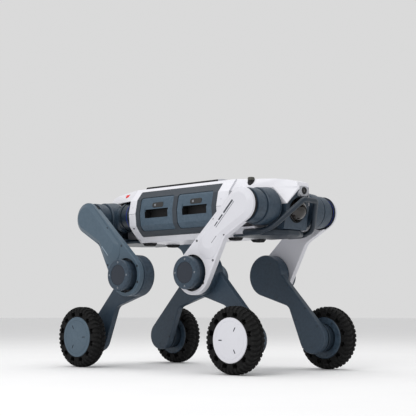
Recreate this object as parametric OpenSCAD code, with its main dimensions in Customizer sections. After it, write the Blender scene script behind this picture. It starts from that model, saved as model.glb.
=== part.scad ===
// Wheel-legged quadruped robot: barrel-sided torso with pull-out battery packs, sensor nose
// and tail, and four two-link legs that end in hub-motor wheels.
// Millimetres, +Z up, +X forward, origin on the ground below the middle of the wheelbase.

/* [Stance] */
// Half of the wheelbase
wheel_x = 308; // [304:1:312]
// Hip pitch axis, ahead of the middle
hip_x = 311; // [309:1:313]
// Knee axis, ahead of the middle
knee_x = 136; // [134:1:138]
// Length of the thigh and of the shank, axis to axis
link_len = 250; // [248:1:252]
// Hip roll axis, out from the middle
roll_y = 72; // [71:0.5:73]

/* [Wheel] */
// Tyre radius
wheel_r = 90; // [89:0.5:92]
// Tyre width
tyre_w = 46; // [44:0.5:48]
// Rim radius under the tyre
rim_r = 60; // [59:0.5:61]
// Middle of the tyre, out from the middle of the robot
tyre_y = 203; // [203:0.5:205]
// Radius of the weight-saving holes through the tyre
tyre_hole_r = 7; // [5:0.5:7]
// Wheel cap thickness
cap_t = 4.8; // [4:0.1:5]

/* [Leg] */
// Thigh plate radius at the hip
thigh_hip_r = 47; // [45:0.5:48]
// Thigh plate radius at the knee
thigh_knee_r = 61; // [59:0.5:62]
// Inner and outer faces of the thigh plate
thigh_in = 168.3; // [168:0.1:168.6]
thigh_out = 196; // [195:0.5:197]
// Shank disc radius at the knee
shank_knee_r = 61; // [59:0.5:62]
// Shank end radius at the axle
shank_axle_r = 45; // [43:0.5:45.5]
// Knee motor body radius
knee_motor_r = 43; // [41:0.5:43.5]
// Knee motor cap radius
knee_cap_r = 45.8; // [44:0.1:47]
// Hip housing radius
hip_r = 51; // [49:0.5:52]

/* [Torso] */
// Half length of the torso shell
shell_x = 195; // [193:1:197]
// Shell wall
shell_t = 4; // [3:0.5:4.5]
// Half length of the side panels
panel_x = 164.6; // [160:0.2:166]
// Battery pack width
pack_w = 137; // [134:1:138]
// Top deck thickness
deck_t = 5.5; // [5:0.5:6]

/* [Payload deck] */
// Bolt pattern along and across the deck
deck_bolt_x = 220; // [180:5:240]
deck_bolt_y = 120; // [100:5:130]
// Bolt hole radius
deck_bolt_r = 2.6; // [2.1:0.1:3.3]

/* [Guard] */
// Tube radius of the nose and tail guards
guard_r = 7.4; // [6.6:0.2:7.4]

/* [Hidden] */
$fn = 64;
run_fit = 0.05;
seat_fit = 0.2;
knee_z = wheel_r + sqrt(pow(link_len, 2) - pow(wheel_x - knee_x, 2));
hip_z = knee_z + sqrt(pow(link_len, 2) - pow(hip_x - knee_x, 2));
tyre_in = tyre_y - tyre_w / 2;
tyre_out = tyre_y + tyre_w / 2;
// Motor spindles
roll_pin_r = 14;
hip_pin_r = 20;
knee_pin_r = 16;
axle_r = 12;
// Leg planes, out from the middle
shank_in = 124;
shank_out = 166;
arm_out = 145;
hip_gap_y = 178;
stator_r = 43;
core_r = 38;
core_cavity_r = 40;
core_end = 204;
knee_cap_in = 203;
knee_cap_out = 217.5;
// Inner corners of the bent leg plates
thigh_bend = [255, hip_z - 85];
shank_bend = [223, knee_z - 91];
// Torso levels, measured from the hip axis
belly_z = -76;
deck_z = 86;
panel_top = 75.6;
panel_bottom = -59.6;
pack_top = 55;
pack_bottom = -44;
pack_inner_y = 22;
pack_mid_x = 78;
slot_w = 96;
slot_bottom = -7;
slot_top = 19;
slot_depth_y = 94;
pill_z = 30.5;
pill_dx = 4.5;
pill_w = 47;
pill_r = 7.5;
pill_floor_y = 115;
button_r = 4;
button_dx = -12;
lidar_z = -6;
lidar_r = 29;
camera_z = 46;
knob_r = 12.2;
pad_x = 175;
pad_y = 50;
tray_top = -70.2;
tray_bottom = -77;
// Guard tube corners on one side, with the radius of the bend at the two inner ones
guard_path = [[401.5, 0, 18], [401.5, 27, 18], [336, 95.5, -66], [255, 95.5, -66]];
guard_bend = [14, 60];
rail_z = -66;

// Colours
white = [0.90, 0.90, 0.92];
slate = [0.23, 0.29, 0.34];
steel_blue = [0.33, 0.39, 0.44];
pack_blue = [0.33, 0.41, 0.48];
graphite = [0.20, 0.22, 0.24];
black = [0.05, 0.05, 0.055];
rubber = [0.09, 0.09, 0.09];
metal = [0.62, 0.63, 0.65];

// ---------- helpers ----------
// Places a front left part at any corner: fore and left are 1 or -1
module corner(fore, left) multmatrix([[fore, 0, 0, 0], [0, left, 0, 0], [0, 0, 1, 0]]) children();
module both_ends() for (fore = [-1, 1]) corner(fore, 1) children();
module both_sides() for (left = [-1, 1]) corner(1, left) children();
// Cylinder along Y at (x, z), from y0 to y1
module ycyl(at, r, y0, y1, r2 = -1)
  translate([at[0], y0, at[1]]) rotate([-90, 0, 0]) cylinder(h = y1 - y0, r1 = r, r2 = r2 < 0 ? r : r2);
// Cylinder along X at (y, z), from x0 to x1
module xcyl(at, r, x0, x1, r2 = -1)
  translate([x0, at[0], at[1]]) rotate([0, 90, 0]) cylinder(h = x1 - x0, r1 = r, r2 = r2 < 0 ? r : r2);
module box(low, high) translate(low) cube(high - low);
// Extrudes a drawing in (y, z) along X
module along_x(x0, x1) translate([x0, 0, 0]) rotate([90, 0, 90]) linear_extrude(height = x1 - x0) children();
// Extrudes a drawing in (x, z) along Y
module along_y(y0, y1) translate([0, y1, 0]) rotate([90, 0, 0]) linear_extrude(height = y1 - y0) children();
// Point where a line from p touches a circle; side is 1 or -1
function touch(p, c, r, side) =
  let (d = norm(p - c), a = atan2(p[1] - c[1], p[0] - c[0]) + side * acos(r / d)) c + r * [cos(a), sin(a)];
// Touch points of the outer tangent of two circles, on the given side of the line a to b
function tangent(a, ra, b, rb, side) =
  let (d = norm(b - a), t = atan2(b[1] - a[1], b[0] - a[0]) + side * acos((ra - rb) / d),
       n = [cos(t), sin(t)]) [a + ra * n, b + rb * n];

// ---------- torso section ----------
// Half of the barrel section at inset t, from the deck edge down to the belly edge
function half_section(t) = [[84 - 0.7 * t, deck_z - t], [113 - t, 50 - 0.4 * t], [121 - t, 10],
  [117 - t, -28 + 0.2 * t], [104 - 0.9 * t, -45 + 0.4 * t], [71 - 0.7 * t, belly_z + t]];
function section(t) = let (h = half_section(t), n = len(h))
  concat(h, [for (i = [n - 1:-1:0]) [-h[i][0], h[i][1]]]);
module torso_bar(t, x0, x1) along_x(x0, x1) polygon(section(t));
module at_hip_level() translate([0, 0, hip_z]) children();

module chassis() at_hip_level() {
  both_ends() difference() {
    torso_bar(shell_t + 0.3, 182, 190);
    both_sides() xcyl([roll_y, 0], 20, 181, 191);
  }
  both_sides() box([-181.8, 17, -68.6], [181.8, 20, 80]);
  box([-181.8, -60, -71.6], [181.8, 60, -68.8]);
}

module controller() at_hip_level() {
  difference() {
    box([-120, -14, -40], [120, 14, 50]);
    for (x = [-110:20:110]) box([x - 6, -15, 44], [x + 6, 15, 51]);
  }
  both_sides() for (x = [-100, 100], z = [-30, 34]) ycyl([x, z], 4, 14, 17);
}

module torso_skin() at_hip_level() difference() {
  torso_bar(0, -shell_x, shell_x);
  torso_bar(shell_t, -shell_x - 1, shell_x + 1);
  box([-panel_x - 0.4, -130, panel_bottom - 0.4], [panel_x + 0.4, 130, panel_top + 0.4]);
  screw_set(3.1);
}

// Side panel with one bay for each battery pack
module bezel() difference() {
  intersection() {
    torso_bar(-1, -panel_x, panel_x);
    box([-panel_x, 60, panel_bottom], [panel_x, 130, panel_top]);
  }
  torso_bar(9, -panel_x - 1, panel_x + 1);
  both_ends() box([pack_mid_x - pack_w / 2 - 0.5, 50, pack_bottom - 0.5],
                  [pack_mid_x + pack_w / 2 + 0.5, 130, pack_top + 0.5]);
  // Joints between the rails and the posts of the frame
  for (z = [pack_bottom - 0.6, pack_top + 0.5])
    box([-panel_x - 1, 50, z], [panel_x + 1, 130, z + 0.1]);
}

module pill(y0, y1) {
  for (s = [-1, 1]) ycyl([pack_mid_x + pill_dx + s * (pill_w / 2 - pill_r), pill_z], pill_r, y0, y1);
  box([pack_mid_x + pill_dx - pill_w / 2 + pill_r, y0, pill_z - pill_r],
      [pack_mid_x + pill_dx + pill_w / 2 - pill_r, y1, pill_z + pill_r]);
}
// A pack mirrored end for end keeps its button towards the tail, so fore shifts the pill
module pack(fore) at_hip_level() corner(fore, 1) difference() {
  intersection() {
    torso_bar(0.5, pack_mid_x - pack_w / 2, pack_mid_x + pack_w / 2);
    box([0, pack_inner_y, pack_bottom], [pack_mid_x + pack_w, 130, pack_top]);
  }
  box([pack_mid_x - slot_w / 2, slot_depth_y, slot_bottom], [pack_mid_x + slot_w / 2, 130, slot_top]);
  pill_place(fore) pill(pill_floor_y, 130);
  pill_place(fore) button_at(fore, button_r + run_fit, 104, 130);
}
module pill_place(fore) translate([fore < 0 ? -2 * pill_dx : 0, 0, 0]) children();
module button_at(fore, r, y0, y1)
  ycyl([pack_mid_x + pill_dx + fore * button_dx, pill_z], r, y0, y1);
module button(fore) at_hip_level() corner(fore, 1) pill_place(fore) {
  button_at(fore, button_r, 106.5, 115.8);
}

module deck() at_hip_level() difference() {
  along_y(-80, 80) polygon([[-162, deck_z], [152, deck_z], [152, deck_z + deck_t - 1],
    [149, deck_z + deck_t], [-157, deck_z + deck_t], [-162, deck_z + deck_t - 4]]);
  for (x = [-1, 1], y = [-1, 1])
    translate([x * deck_bolt_x / 2, y * deck_bolt_y / 2, deck_z - 1]) cylinder(h = deck_t + 2, r = deck_bolt_r);
}

module pads() at_hip_level() both_ends() both_sides()
  along_y(pad_y - 13, pad_y + 13)
    polygon([[pad_x - 20, belly_z], [pad_x + 20, belly_z], [pad_x + 11, belly_z - 8.5], [pad_x - 11, belly_z - 8.5]]);

// Front and rear undertrays, with a flange that carries the guard rails
module trays() at_hip_level() both_ends() {
  translate([0, 0, tray_bottom]) linear_extrude(height = rail_z - guard_r - 0.3 - tray_bottom)
    polygon([[shell_x + 0.3, -84], [240, -84], [250, -102], [326, -102], [346, -66], [346, 66], [326, 102],
      [250, 102], [240, 84], [shell_x + 0.3, 84]]);
  box([shell_x + 0.3, -84, rail_z - guard_r - 0.4], [299.9, 84, tray_top]);
  // Apron that fills the gap up to the sensor housing
  translate([0, 0, rail_z - guard_r - 0.2]) linear_extrude(height = 13.2)
    polygon([[300, -86], [318, -86], [345, -60], [345, 60], [318, 86], [300, 86]]);
}

// Canopy over the hips: wide at the torso, narrow at the tip
module canopy(t, drop) hull() {
  along_x(shell_x + 0.3 - (t > 0 ? 1 : 0), shell_x + 0.8) polygon([[t - 112, 50 - drop], [0.6 * t - 84, deck_z - t],
    [84 - 0.6 * t, deck_z - t], [112 - t, 50 - drop]]);
  along_x(229, 229.5) polygon([[t - 92, 53 - drop], [0.6 * t - 63, 85.5 - t], [63 - 0.6 * t, 85.5 - t], [92 - t, 53 - drop]]);
  along_x(318, 318.5) polygon([[t - 56, 56 - drop], [0.6 * t - 46, 79 - t], [46 - 0.6 * t, 79 - t], [56 - t, 56 - drop]]);
  along_x(378 - t, 381 - t) polygon([[t - 25, 55 - drop], [0.6 * t - 24, 66.5 - t], [24 - 0.6 * t, 66.5 - t], [25 - t, 55 - drop]]);
}
// Solid nose between the hips, at inset t and moved by dx and dz
module nose_block(t, dx = 0, dz = 0) hull() {
  translate([dx, 0, dz]) {
    box([302, t - 50, 8.5], [361, 50 - t, 9.5]);
    box([302, t - 56, 56], [318, 56 - t, 57]);
    box([372, t - 22, 50], [382.5, 22 - t, 57]);
  }
}
module nose_skin(lip) {
  difference() {
    canopy(0, 0);
    canopy(3, 6);
    nose_block(3);
  }
  both_sides() along_y(24, 27) polygon([[shell_x + 1, -66.3], [300, -66.3], [300, 78.5], [shell_x + 1, 78.5]]);
  // Cheeks beside the sensor housing
  difference() {
    nose_block(0);
    nose_block(3, 0.6, -0.6);
    nose_block(3, -2, -0.6);
    box([300, -60, 56.3], [400, 60, 64]);
  }
  if (lip) difference() {
    along_x(shell_x + 0.3, 246) polygon([[98, -51], [84, tray_top + 0.3], [-84, tray_top + 0.3], [-98, -51]]);
    along_x(shell_x - 1, 250) polygon([[94, -50], [81, tray_top + 3.5], [-81, tray_top + 3.5], [-94, -50]]);
  }
}
module head() at_hip_level() {
  difference() {
    union() {
      nose_skin(true);
      // Tongue that frames the camera
      xcyl([0, camera_z], 15, 367, 382.5);
      box([367, -20, camera_z - 3], [382.5, 20, 59]);
    }
    xcyl([0, camera_z], 9.5 + seat_fit, 366, 400);
    both_sides() translate([251, 70, 46]) cylinder(h = 54, r = knob_r + seat_fit);
  }
}
module tail() at_hip_level() corner(-1, 1) {
  difference() {
    nose_skin(false);
    both_sides() lamp(1);
  }
}
module lamp(grow) translate([249, 66.5, 68]) rotate([-48.7, 0, 0])
  cube([14 + grow, 9 + grow, 8 + (grow > 0 ? 8 : 0)], center = true);

module sensor_block(camera) at_hip_level() difference() {
  union() {
    along_y(-50, 50) polygon([[302, -60], [350, -60], [361, 8.2], [302, 8.2]]);
    intersection() {
      nose_block(3.3);
      box([303, -60, 8], [382, 60, 52]);
    }
    box([304, -46, 7], [358, 46, 10]);
  }
  xcyl([0, lidar_z], lidar_r + 6, 348, 400);
  if (camera) box([366.7, -20.3, camera_z - 15.3], [400, 20.3, 60]);
}
module lidar() at_hip_level() {
  xcyl([0, lidar_z], lidar_r + 1, 348, 356);
  translate([355, 0, lidar_z]) rotate([0, 90, 0]) rotate_extrude() intersection() {
    translate([0, 1]) circle(r = lidar_r);
    square(lidar_r + 2);
  }
}
module camera_barrel() at_hip_level() difference() {
  union() {
    xcyl([0, camera_z], 9.5, 367, 384.5);
    xcyl([0, camera_z], 8.5, 384.5, 386);
  }
  xcyl([0, camera_z], 5, 383.5, 387.5, 6.5);
}
module rod(a, b, r) let (d = b - a) translate(a)
  rotate([0, acos(d[2] / norm(d)), atan2(d[1], d[0])]) cylinder(h = norm(d), r = r);
// Round bend that joins the straight from a to p and the one from p to b
function unit(v) = v / norm(v);
function setback(a, p, b, r) = r * tan(acos(unit(p - a) * unit(b - p)) / 2);
module elbow(a, p, b, r) {
  u = unit(p - a);
  v = unit(b - p);
  n = unit(v - u * (u * v));
  z = cross(-n, u);
  c = p - u * setback(a, p, b, r) + n * r;
  multmatrix([[-n[0], u[0], z[0], c[0]], [-n[1], u[1], z[1], c[1]], [-n[2], u[2], z[2], c[2]]])
    rotate_extrude(angle = acos(u * v)) translate([r, 0]) circle(r = guard_r + 0.08);
}
module guard() at_hip_level() {
  p = guard_path;
  cut = [for (i = [1, 2]) setback(p[i - 1], p[i], p[i + 1], guard_bend[i - 1]) - 0.5];
  u = [for (i = [0:2]) unit(p[i + 1] - p[i])];
  both_sides() {
    for (i = [1, 2]) elbow(p[i - 1], p[i], p[i + 1], guard_bend[i - 1]);
    rod(p[1] + u[1] * cut[0], p[2] - u[1] * cut[1], guard_r);
    rod(p[2] + u[2] * cut[1], p[3], guard_r);
    translate(p[3]) sphere(r = guard_r + 0.08);
  }
  rod([p[1][0], cut[0] - p[1][1], p[1][2]], [p[1][0], p[1][1] - cut[0], p[1][2]], guard_r);
}
module knobs() at_hip_level() both_sides() translate([251, 70, 0]) {
  translate([0, 0, 58]) cylinder(h = 26.5, r = knob_r);
  translate([0, 0, 84.5]) cylinder(h = 3.7, r1 = knob_r, r2 = knob_r - 4);
}
module roll_stators() at_hip_level() both_ends() both_sides() {
  xcyl([roll_y, 0], 43.5, 190.2, 244);
  xcyl([roll_y, 0], 43.5, 244, 249.5, 40);
  xcyl([roll_y, 0], roll_pin_r, 249.5, 278);
}
// Panel screws on the lower chamfer and beside the panels
module screw_set(r) both_sides() {
  for (x = [-150:60:150]) translate([x, 82.1, -64.6]) rotate([-135, 0, 0]) cylinder(h = 3.2, r = r);
  both_ends() for (z = [-20, 28]) ycyl([180, z], r, 116.2, 121);
}
module screws() at_hip_level() screw_set(3);

// ---------- legs, drawn at the front left corner ----------
module hip_housing() difference() {
  union() {
    ycyl([hip_x, hip_z], hip_r - 0.4, 70, 78.5);
    // Raised crown over the roll coupling
    ycyl([hip_x, hip_z + 3.5], hip_r - 0.5, 75, 106);
    ycyl([hip_x, hip_z], hip_r, 78, 125);
    ycyl([hip_x, hip_z], hip_r - 6, 124, 130);
    ycyl([hip_x, hip_z], hip_r - 4, 129, 166);
    xcyl([roll_y, hip_z], 36, 251, 276);
    ycyl([hip_x, hip_z], 40, 165, hip_gap_y - 0.4);
    ycyl([hip_x, hip_z], hip_pin_r, 170, 187);
  }
  xcyl([roll_y, hip_z], roll_pin_r + run_fit, 250, 279);
}

// Bent plate between two discs: the far side is straight, the near side turns at a bend point
module bent_web(a, ra, b, rb, bend, side) {
  far = tangent(a, ra, b, rb, side);
  polygon([a, far[0], far[1], b, touch(bend, b, rb, side), bend, touch(bend, a, ra, -side)]);
}
// Point on the thigh: along the line from hip to knee, and off to its near side
function on_thigh(along, off) = let (d = ([knee_x, knee_z] - [hip_x, hip_z]) / link_len)
  [hip_x, hip_z] + along * d + off * [-d[1], d[0]];
module thigh_plate() {
  hip = [hip_x, hip_z];
  knee = [knee_x, knee_z];
  raised_end = on_thigh(160, -14);
  difference() {
    union() {
      ycyl(hip, thigh_hip_r, thigh_in, 186);
      ycyl(hip, thigh_hip_r - 0.5, 186, thigh_out, thigh_hip_r - 16);
      ycyl(knee, thigh_knee_r, thigh_in, 178);
      ycyl(knee, thigh_knee_r, 178, 186, thigh_knee_r - 8);
      along_y(thigh_in, 184) bent_web(hip, thigh_hip_r, knee, thigh_knee_r, thigh_bend, -1);
      // Raised outer face
      along_y(183, thigh_out) bent_web(hip, thigh_hip_r - 12, raised_end, 26, on_thigh(98, 8), -1);
      ycyl(raised_end, 26, 183, thigh_out);
    }
    ycyl(hip, thigh_hip_r + 2, thigh_in - 1, hip_gap_y);
    ycyl(hip, hip_pin_r + run_fit, thigh_in - 1, 188);
    ycyl(knee, knee_motor_r + seat_fit, thigh_in - 1, 200);
  }
}
module knee_motor() {
  knee = [knee_x, knee_z];
  difference() {
    union() {
      ycyl(knee, knee_pin_r, 128, 170);
      ycyl(knee, knee_motor_r, 169, knee_cap_in);
      ycyl(knee, knee_cap_r, knee_cap_in, knee_cap_out - 4);
      ycyl(knee, knee_cap_r, knee_cap_out - 4, knee_cap_out, knee_cap_r - 4);
    }
    ycyl(knee, 30, knee_cap_out - 1.5, knee_cap_out + 1);
    for (a = [0:90:270])
      ycyl(knee + 37 * [cos(a), sin(a)], 2.6, knee_cap_out - 2, knee_cap_out + 1, $fn = 24);
  }
}
// Arm with a straight upper edge square off the axle disc and a bend on its lower side
module shank_web() {
  knee = [knee_x, knee_z];
  axle = [wheel_x, wheel_r];
  d = (axle - knee) / link_len;
  up = [-d[1], d[0]];
  polygon([knee, knee + shank_axle_r * up, axle + shank_axle_r * up, axle,
    touch(shank_bend, axle, shank_axle_r, 1), shank_bend, touch(shank_bend, knee, shank_knee_r, -1)]);
}
module shank_plate() {
  knee = [knee_x, knee_z];
  axle = [wheel_x, wheel_r];
  difference() {
    union() {
      ycyl(knee, shank_knee_r - 3, shank_in, shank_in + 3, shank_knee_r);
      ycyl(knee, shank_knee_r, shank_in + 3, shank_out - 4);
      ycyl(knee, shank_knee_r, shank_out - 4, shank_out, shank_knee_r - 4);
      ycyl(axle, shank_axle_r - 2, shank_in, shank_in + 2, shank_axle_r);
      ycyl(axle, shank_axle_r, shank_in + 2, arm_out - 4);
      ycyl(axle, shank_axle_r, arm_out - 4, arm_out, shank_axle_r - 4);
      along_y(shank_in + 1, arm_out - 2) shank_web();
    }
    ycyl(knee, knee_pin_r + run_fit, shank_in + 3.5, shank_out + 1);
  }
}
module hub_stator() {
  axle = [wheel_x, wheel_r];
  ycyl(axle, stator_r - 5, arm_out, 152);
  ycyl(axle, stator_r, 152, 158);
  ycyl(axle, stator_r - 2, 158, 171);
  ycyl(axle, core_r, 171, core_end);
  ycyl(axle, axle_r, core_end, 214);
}
module wheel_rim() {
  axle = [wheel_x, wheel_r];
  difference() {
    union() {
      ycyl(axle, rim_r - 2, tyre_in + 0.8, tyre_in + 4);
      ycyl(axle, rim_r, tyre_in + 4, tyre_out - cap_t - 0.2);
    }
    ycyl(axle, core_cavity_r, tyre_in, core_end + 2);
    ycyl(axle, axle_r + run_fit, core_end, 215);
  }
}
// Airless tyre: flat walls, rounded shoulders and a ring of holes right through
module airless_tyre() {
  w = tyre_w / 2;
  shoulder = 13;
  steps = 6;
  arc = [for (i = [0:steps]) let (a = 90 * i / steps)
    [wheel_r - shoulder * (1 - sin(a)), w - shoulder * (1 - cos(a))]];
  translate([wheel_x, tyre_y, wheel_r]) rotate([-90, 0, 0]) difference() {
    rotate_extrude($fn = 96) polygon(concat([[rim_r + 0.1, -w], [rim_r + 0.1, w]], arc,
      [for (i = [steps:-1:0]) [arc[i][0], -arc[i][1]]]));
    for (a = [15:30:345]) rotate([0, 0, a]) translate([wheel_r - 21, 0, -w - 1])
      cylinder(h = tyre_w + 2, r = tyre_hole_r, $fn = 24);
  }
}
module wheel_cap() {
  axle = [wheel_x, wheel_r];
  difference() {
    union() {
      ycyl(axle, rim_r - 0.4, tyre_out - cap_t, tyre_out - 1.2);
      ycyl(axle, rim_r - 0.4, tyre_out - 1.2, tyre_out, rim_r - 1.6);
    }
    for (a = [180, 300, 60]) translate([wheel_x, tyre_out - 1, wheel_r]) rotate([0, -a, 0])
      box([28, 0, -1.3], [38, 2, 1.3]);
  }
}

// ---------- nodes ----------
module chassis_frame() color(graphite) chassis();
module control_unit() color(metal) controller();
module torso_shell() color(white) torso_skin();
module side_bezels() color(graphite) at_hip_level() both_sides() bezel();
module top_plate() color(black) deck();
module belly_pads() color(rubber) pads();
module skid_trays() color(graphite) trays();
module head_shell() color(white) head();
module tail_shell() color(white) tail();
module front_sensor_housing() color(slate) sensor_block(true);
module rear_sensor_housing() color(slate) corner(-1, 1) sensor_block(false);
module front_lidar() color([0.14, 0.13, 0.12]) lidar();
module rear_lidar() color([0.14, 0.13, 0.12]) corner(-1, 1) lidar();
module camera() color(black) camera_barrel();
module front_guard() color(graphite) guard();
module rear_guard() color(graphite) corner(-1, 1) guard();
module tail_lamps() color([0.8, 0.05, 0.05]) at_hip_level() corner(-1, 1) both_sides() lamp(0);
module shoulder_knobs() color(black) knobs();
module roll_actuators() color(graphite) roll_stators();
module body_screws() color(metal) screws();
module battery_fr() color(pack_blue) corner(1, -1) pack(1);
module battery_fl() color(pack_blue) pack(1);
module battery_rr() color(pack_blue) corner(1, -1) pack(-1);
module battery_rl() color(pack_blue) pack(-1);
module button_fr() color(metal) corner(1, -1) button(1);
module button_fl() color(metal) button(1);
module button_rr() color(metal) corner(1, -1) button(-1);
module button_rl() color(metal) button(-1);
module hip_fr() color(slate) corner(1, -1) hip_housing();
module hip_fl() color(slate) hip_housing();
module hip_rr() color(slate) corner(-1, -1) hip_housing();
module hip_rl() color(slate) corner(-1, 1) hip_housing();
module thigh_fr() color(white) corner(1, -1) thigh_plate();
module thigh_fl() color(white) thigh_plate();
module thigh_rr() color(steel_blue) corner(-1, -1) thigh_plate();
module thigh_rl() color(steel_blue) corner(-1, 1) thigh_plate();
module knee_motor_fr() color(slate) corner(1, -1) knee_motor();
module knee_motor_fl() color(slate) knee_motor();
module knee_motor_rr() color(slate) corner(-1, -1) knee_motor();
module knee_motor_rl() color(slate) corner(-1, 1) knee_motor();
module shank_fr() color(slate) corner(1, -1) shank_plate();
module shank_fl() color(slate) shank_plate();
module shank_rr() color(slate) corner(-1, -1) shank_plate();
module shank_rl() color(slate) corner(-1, 1) shank_plate();
module stator_fr() color(graphite) corner(1, -1) hub_stator();
module stator_fl() color(graphite) hub_stator();
module stator_rr() color(graphite) corner(-1, -1) hub_stator();
module stator_rl() color(graphite) corner(-1, 1) hub_stator();
module rim_fr() color(graphite) corner(1, -1) wheel_rim();
module rim_fl() color(graphite) wheel_rim();
module rim_rr() color(graphite) corner(-1, -1) wheel_rim();
module rim_rl() color(graphite) corner(-1, 1) wheel_rim();
module tyre_fr() color(rubber) corner(1, -1) airless_tyre();
module tyre_fl() color(rubber) airless_tyre();
module tyre_rr() color(rubber) corner(-1, -1) airless_tyre();
module tyre_rl() color(rubber) corner(-1, 1) airless_tyre();
module cap_fr() color(white) corner(1, -1) wheel_cap();
module cap_fl() color(white) wheel_cap();
module cap_rr() color(steel_blue) corner(-1, -1) wheel_cap();
module cap_rl() color(steel_blue) corner(-1, 1) wheel_cap();

chassis_frame();
control_unit();
torso_shell();
side_bezels();
top_plate();
belly_pads();
skid_trays();
head_shell();
tail_shell();
front_sensor_housing();
rear_sensor_housing();
front_lidar();
rear_lidar();
camera();
front_guard();
rear_guard();
tail_lamps();
shoulder_knobs();
roll_actuators();
body_screws();
battery_fr();
battery_fl();
battery_rr();
battery_rl();
button_fr();
button_fl();
button_rr();
button_rl();
hip_fr();
thigh_fr();
knee_motor_fr();
shank_fr();
stator_fr();
rim_fr();
tyre_fr();
cap_fr();
hip_fl();
thigh_fl();
knee_motor_fl();
shank_fl();
stator_fl();
rim_fl();
tyre_fl();
cap_fl();
hip_rr();
thigh_rr();
knee_motor_rr();
shank_rr();
stator_rr();
rim_rr();
tyre_rr();
cap_rr();
hip_rl();
thigh_rl();
knee_motor_rl();
shank_rl();
stator_rl();
rim_rl();
tyre_rl();
cap_rl();
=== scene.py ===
"""Visual model of the wheel-legged quadruped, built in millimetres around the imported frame."""
from math import acos, atan2, cos, pi, radians, sin, sqrt, tan

import bmesh
import bpy
from mathutils import Matrix, Vector


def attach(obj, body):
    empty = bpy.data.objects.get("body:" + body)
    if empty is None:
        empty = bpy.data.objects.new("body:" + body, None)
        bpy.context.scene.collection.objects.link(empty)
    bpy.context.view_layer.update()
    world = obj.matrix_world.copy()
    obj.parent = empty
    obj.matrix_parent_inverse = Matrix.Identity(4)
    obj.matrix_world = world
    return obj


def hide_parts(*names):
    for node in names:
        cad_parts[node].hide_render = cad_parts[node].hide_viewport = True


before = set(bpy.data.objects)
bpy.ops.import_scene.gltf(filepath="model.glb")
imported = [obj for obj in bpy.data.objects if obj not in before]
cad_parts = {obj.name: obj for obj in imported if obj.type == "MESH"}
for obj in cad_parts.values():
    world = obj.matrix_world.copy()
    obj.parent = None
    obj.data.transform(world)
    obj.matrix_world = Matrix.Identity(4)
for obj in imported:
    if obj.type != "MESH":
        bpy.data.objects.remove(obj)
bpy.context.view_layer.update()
MM = 0.001
CORNERS = {"fr": (1, -1), "fl": (1, 1), "rr": (-1, -1), "rl": (-1, 1)}

# ---- dimensions, as in the CAD part
WHEEL_X, HIP_X, KNEE_X, LINK, WHEEL_R, ROLL_Y = 308.0, 311.0, 136.0, 250.0, 90.0, 72.0
THIGH_TOP_R, KNEE_R, AXLE_R = 47, 61, 45  # the round ends of the links
KNEE_Z = WHEEL_R + sqrt(LINK ** 2 - (WHEEL_X - KNEE_X) ** 2)
HIP_Z = KNEE_Z + sqrt(LINK ** 2 - (HIP_X - KNEE_X) ** 2)
HIP, KNEE, AXLE = (HIP_X, HIP_Z), (KNEE_X, KNEE_Z), (WHEEL_X, WHEEL_R)
THIGH_BEND = (255.0, HIP_Z - 85.0)
SHANK_BEND = (223.0, KNEE_Z - 91.0)
TYRE_Y, TYRE_W = 203.0, 46.0
Z0 = HIP_Z  # heights on the torso are given from the hip's axis
PANEL_X, PANEL_TOP, PANEL_LOW = 164.6, 75.6, -59.6
PACK_X, PACK_W, PACK_TOP, PACK_LOW = 78.0, 137.0, 55.0, -44.0
LABEL_Z = Z0 + 30.5
LIDAR_Z, CAMERA_Z = Z0 - 6, Z0 + 46
KNOB_X, KNOB_Y = 251, 70
GUARD_R, RAIL_Y = 7.4, 95.5
BOLT_X, BOLT_Y, BOLT_R = 110, 60, 2.6
SHELL_REAR, SHELL_FRONT, SHELL_IN = -195, 206.5, 189
GAP = 0.6  # round each pack in its bay
OUTSIDE = 140  # a cutter that ends here passes the torso's side

# ---- finer than the CAD part, with link screws as (along the link, off its line)
MOTOR_UP = 5.5  # casings of the roll motors above the axis
MOTOR_Z = Z0 + MOTOR_UP
MOTOR_BORE = 44.9
THIGH_SCREWS = [(-25.7, -23.3), (-19.8, 18.8), (14.9, 33.2), (96.2, 13.5), (172.8, 33.0), (241.7, 50.2), (285.3, 33.5),
                (-9, -34), (91, -41.5), (175, -48.5), (266, -53.5), (301, -22.8)]
SHANK_SCREWS = [(-51, -4), (-10, 42), (-10, -49), (80, 39), (80, -12), (172, 40), (172, -7), (239, 37), (224, -32),
                (269, -18)]
TREAD_DEPTH, SHOULDER_R, LUGS, TYRE_HOLES = 2.6, 13, 40, 12


def put(name, data):
    obj = bpy.data.objects.new(name, data)
    bpy.context.scene.collection.objects.link(obj)
    return obj


# ---- camera
def place_camera():
    """Camera at the photograph's viewing angle."""
    cam = bpy.data.cameras.new("camera")
    cam.lens, cam.sensor_width = 90.79, 36.0
    cam.clip_start, cam.clip_end = 0.1, 60.0
    obj = put("view_camera", cam)
    yaw, pitch = radians(43.03), radians(-5.76)
    ahead = Vector((-sin(yaw) * cos(pitch), cos(yaw) * cos(pitch), -sin(pitch)))
    right = Vector((cos(yaw), sin(yaw), 0.0))
    up = right.cross(ahead)
    turn = Matrix((right, up, -ahead)).transposed().to_4x4()
    obj.matrix_world = Matrix.Translation((2.143, -2.273, 0.159)) @ turn
    bpy.context.scene.camera = obj


place_camera()


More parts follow.
